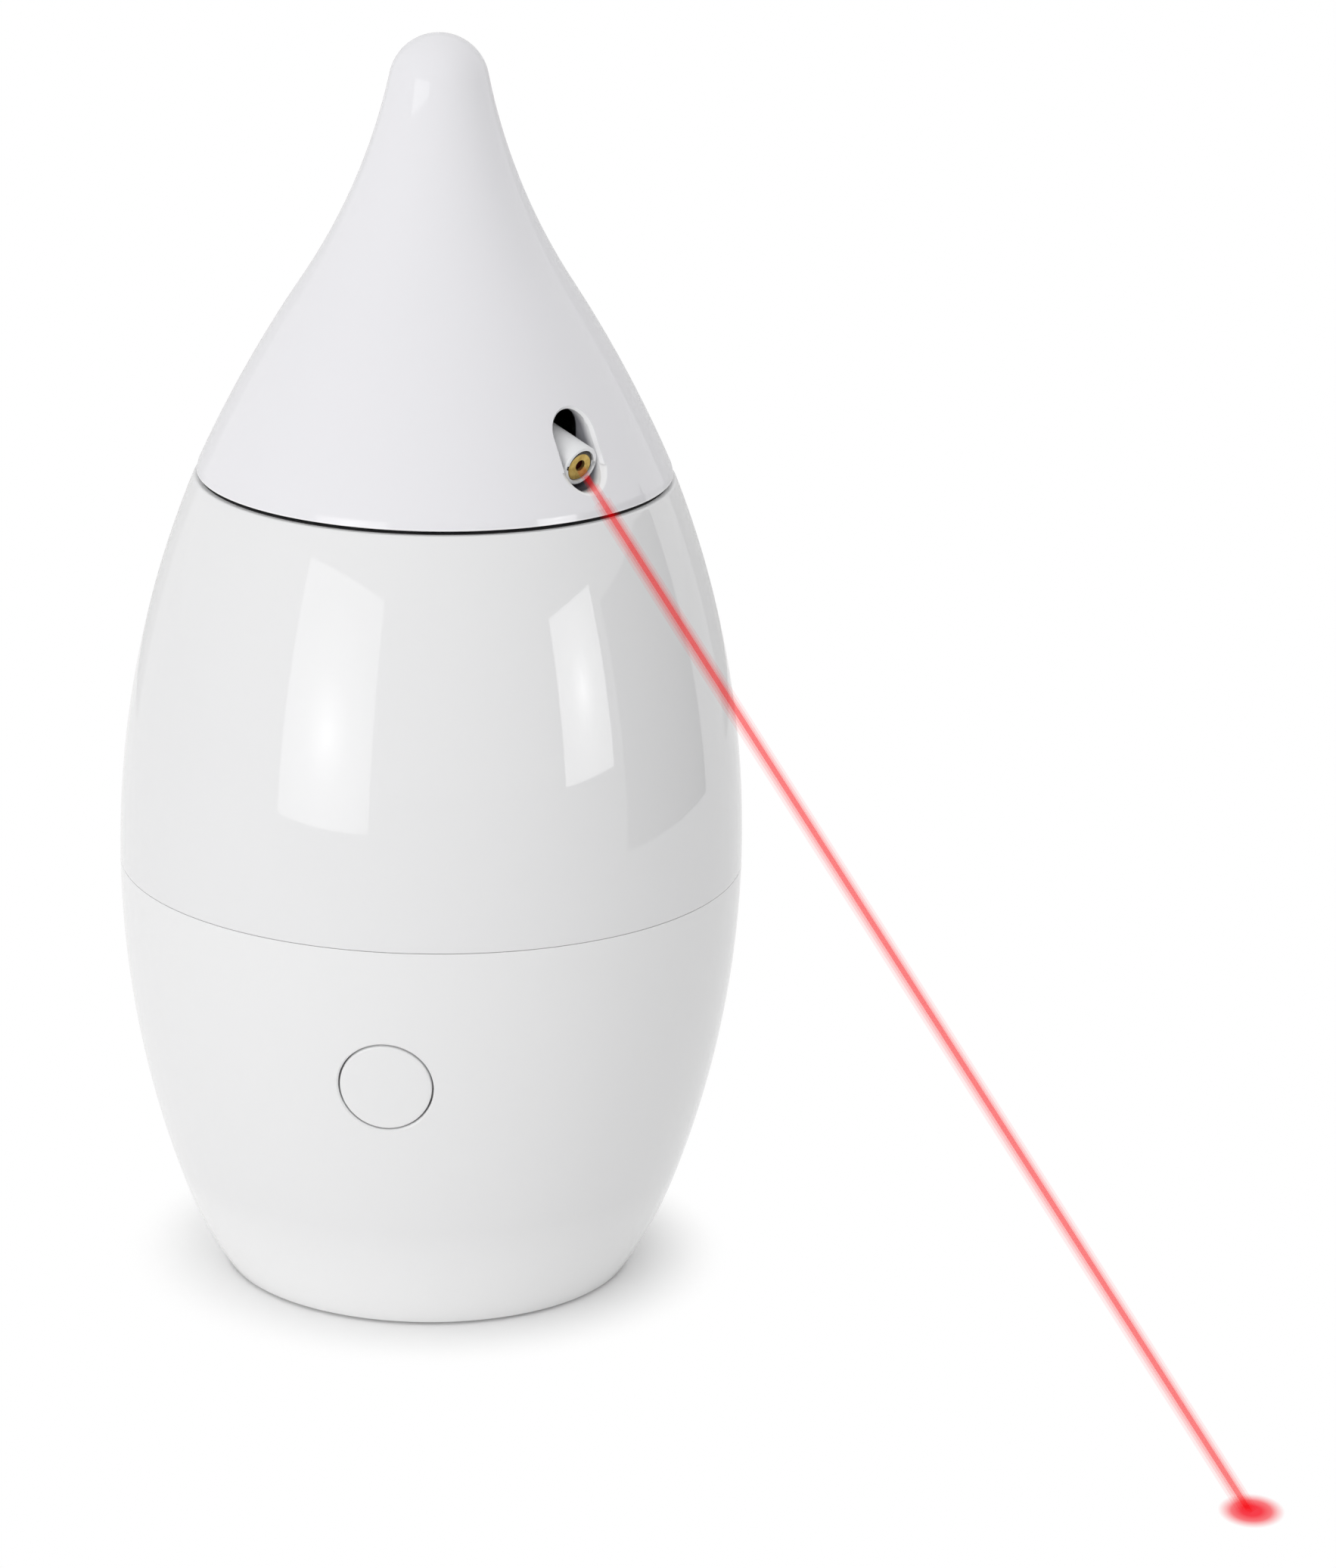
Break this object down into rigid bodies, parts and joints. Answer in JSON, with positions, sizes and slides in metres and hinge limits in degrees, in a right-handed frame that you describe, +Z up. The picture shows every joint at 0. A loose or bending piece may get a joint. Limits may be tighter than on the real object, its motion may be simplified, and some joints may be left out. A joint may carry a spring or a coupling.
{
  "type": "automatic cat laser toy",
  "caption": "Onion-shaped automatic cat laser toy: a turning head with a tilting laser barrel in each slot, a geared motor drive, a front push button and a battery base.",
  "frame": {"origin": "centre of the feet's resting plane, on the turning axis", "axes": "+Z up along the turning axis, the push button faces -Y"},
  "size_m": [0.1042, 0.1042, 0.21],
  "materials": {
    "white_shell": "glossy injection-moulded white",
    "white_barrel": "satin moulded white",
    "base_white": "fine spark-eroded white",
    "dark_plastic": "matte black moulding",
    "gearbox_plastic": "matte grey moulding",
    "gear_nylon": "natural nylon",
    "brass": "turned brass",
    "contact_copper": "rolled phosphor bronze",
    "steel": "zinc-plated steel",
    "spindle_acetal": "moulded acetal",
    "magnet": "sintered ferrite",
    "board_green": "solder mask",
    "cell_jacket": "plain cell jacket",
    "capacitor_can": "sleeved aluminium can",
    "rubber": "soft rubber",
    "lens_glass": "clear lens",
    "lead_sleeve": "wire insulation"
  },
  "bodies": {
    "body": {"base_plate": "base_white", "base_screws": "steel", "battery_cells": "cell_jacket", "battery_holder": "dark_plastic", "battery_leads": "lead_sleeve", "battery_plates": "steel", "battery_springs": "steel", "board_screws": "steel", "cam_ring": "dark_plastic", "capacitor": "capacitor_can", "control_chip": "dark_plastic", "deck_plate": "dark_plastic", "deck_screws": "steel", "gear_pins": "steel", "gearbox_base": "gearbox_plastic", "gearbox_screws": "steel", "holder_screws": "steel", "housing_screws": "steel", "lower_housing": "white_shell", "main_board": "board_green", "motor_can": "steel", "motor_end_cap": "dark_plastic", "motor_leads": "lead_sleeve", "motor_magnets": "magnet", "motor_screws": "steel", "rubber_feet": "rubber", "slip_ring_board": "board_green", "slip_ring_tracks": "contact_copper", "spindle_bush": "brass", "tact_switch": "dark_plastic", "upper_housing": "white_shell"},
    "head": {"head_shell": "white_shell", "head_carrier": "dark_plastic", "carrier_screws": "steel", "spindle": "spindle_acetal", "spindle_screw": "steel", "output_gear": "gear_nylon", "brush_holder": "dark_plastic", "contact_brushes": "contact_copper", "head_board": "board_green"},
    "laser_a": {"laser_barrel_a": "white_barrel", "laser_module_a": "brass", "laser_lens_a": "lens_glass", "laser_diode_a": "steel", "laser_board_a": "board_green"},
    "laser_b": {"laser_barrel_b": "white_barrel", "laser_module_b": "brass", "laser_lens_b": "lens_glass", "laser_diode_b": "steel", "laser_board_b": "board_green"},
    "gear_a": {"compound_gear_a": "gear_nylon"},
    "gear_b": {"compound_gear_b": "gear_nylon"},
    "rotor": {"motor_shaft": "steel", "motor_armature": "steel", "motor_pinion": "gear_nylon"},
    "button": {"power_button": "white_shell", "switch_plunger": "dark_plastic"},
    "door": {"battery_door": "base_white", "door_screw": "steel", "door_contacts": "steel"}
  },
  "joints": [
    {"name": "head_spin", "type": "hinge", "parent": "body", "child": "head", "pos_m": [0, 0, 0.1377], "axis": [0, 0, 1], "continuous": true},
    {"name": "laser_a_tilt", "type": "hinge", "parent": "head", "child": "laser_a", "pos_m": [0.01226, -0.01029, 0.1502], "axis": [-0.6428, -0.766, 0], "range_deg": [0, 10]},
    {"name": "laser_b_tilt", "type": "hinge", "parent": "head", "child": "laser_b", "pos_m": [-0.01226, 0.01029, 0.1502], "axis": [0.6428, 0.766, 0], "range_deg": [0, 10]},
    {"name": "gear_b_spin", "type": "hinge", "parent": "body", "child": "gear_b", "pos_m": [0, 0.018, 0.1145], "axis": [0, 0, 1], "continuous": true},
    {"name": "gear_a_spin", "type": "hinge", "parent": "body", "child": "gear_a", "pos_m": [-0.01406, 0.01277, 0.1114], "axis": [0, 0, 1], "continuous": true},
    {"name": "rotor_spin", "type": "hinge", "parent": "body", "child": "rotor", "pos_m": [-0.01145, -0.002, 0.1114], "axis": [0, 0, 1], "continuous": true},
    {"name": "button_press", "type": "slide", "parent": "body", "child": "button", "axis": [0, 0.9886, 0.1508], "range_m": [0, 0.001], "stiffness_N_per_m": 500},
    {"name": "battery_door_lift", "type": "slide", "parent": "body", "child": "door", "axis": [0, 0, -1], "range_m": [0, 0.03]}
  ],
  "couplings": [
    {"joint": "gear_b_spin", "follows": "head_spin", "ratio": -5},
    {"joint": "gear_a_spin", "follows": "head_spin", "ratio": 20},
    {"joint": "rotor_spin", "follows": "head_spin", "ratio": -80}
  ]
}
